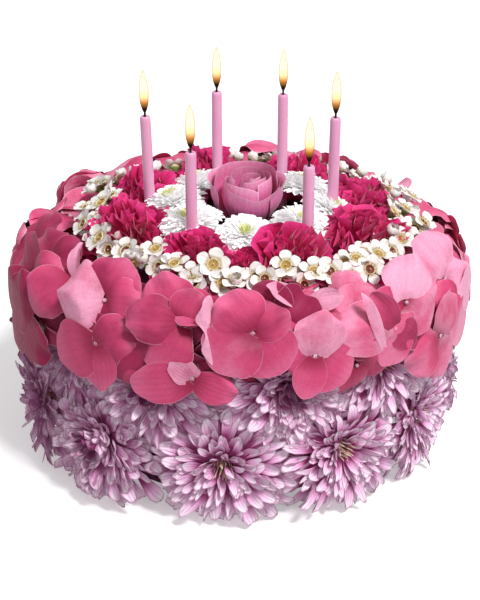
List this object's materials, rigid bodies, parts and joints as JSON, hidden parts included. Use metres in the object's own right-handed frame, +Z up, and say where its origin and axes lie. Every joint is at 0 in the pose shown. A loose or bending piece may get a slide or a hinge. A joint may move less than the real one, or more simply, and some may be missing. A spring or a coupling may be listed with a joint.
{
  "type": "flower cake with birthday candles",
  "caption": "Round cake-shaped arrangement of fresh flowers with lit birthday candles on top: chrysanthemum sides, a hydrangea collar and a waxflower wreath.",
  "frame": {"origin": "centre of the drum's flat underside, on the surface it stands on", "axes": "+Z up along the drum's axis, -Y towards the front, +X to the front view's right"},
  "size_m": [0.2604, 0.2604, 0.2106],
  "materials": {
    "drum_foam": "matt, damp green foam",
    "lilac_petals": "soft matt petals, lilac tips over mauve",
    "pink_petals": "velvety broad petals, bright to deep pink",
    "white_petals": "soft white petals with coloured hearts",
    "magenta_petals": "ruffled matt petals, hot magenta",
    "rose_petals": "satin petals, dusty pink with pale rims",
    "candle_wax": "smooth orchid pink wax",
    "wick_cord": "charred cotton",
    "flame_glow": "glowing, pale at the heart and amber at the rim"
  },
  "bodies": {
    "root": {"core": "drum_foam", "mum_low_01": "lilac_petals", "mum_low_02": "lilac_petals", "mum_low_03": "lilac_petals", "mum_low_04": "lilac_petals", "mum_low_05": "lilac_petals", "mum_low_06": "lilac_petals", "mum_low_07": "lilac_petals", "mum_low_08": "lilac_petals", "mum_low_09": "lilac_petals", "mum_low_10": "lilac_petals", "mum_low_11": "lilac_petals", "mum_high_01": "lilac_petals", "mum_high_02": "lilac_petals", "mum_high_03": "lilac_petals", "mum_high_04": "lilac_petals", "mum_high_05": "lilac_petals", "mum_high_06": "lilac_petals", "mum_high_07": "lilac_petals", "mum_high_08": "lilac_petals", "mum_high_09": "lilac_petals", "mum_high_10": "lilac_petals", "mum_high_11": "lilac_petals", "hydrangea_collar": "pink_petals", "waxflower_wreath": "white_petals", "carnation_1": "magenta_petals", "carnation_2": "magenta_petals", "carnation_3": "magenta_petals", "carnation_4": "magenta_petals", "carnation_5": "magenta_petals", "carnation_6": "magenta_petals", "carnation_7": "magenta_petals", "carnation_8": "magenta_petals", "button_mum_1": "white_petals", "button_mum_2": "white_petals", "button_mum_3": "white_petals", "button_mum_4": "white_petals", "button_mum_5": "white_petals", "button_mum_6": "white_petals", "button_mum_7": "white_petals", "button_mum_8": "white_petals", "rose": "rose_petals", "candle_1": "candle_wax", "wick_1": "wick_cord", "flame_1": "flame_glow", "candle_2": "candle_wax", "wick_2": "wick_cord", "flame_2": "flame_glow", "candle_3": "candle_wax", "wick_3": "wick_cord", "flame_3": "flame_glow", "candle_4": "candle_wax", "wick_4": "wick_cord", "flame_4": "flame_glow", "candle_5": "candle_wax", "wick_5": "wick_cord", "flame_5": "flame_glow", "candle_6": "candle_wax", "wick_6": "wick_cord", "flame_6": "flame_glow"}
  },
  "joints": []
}
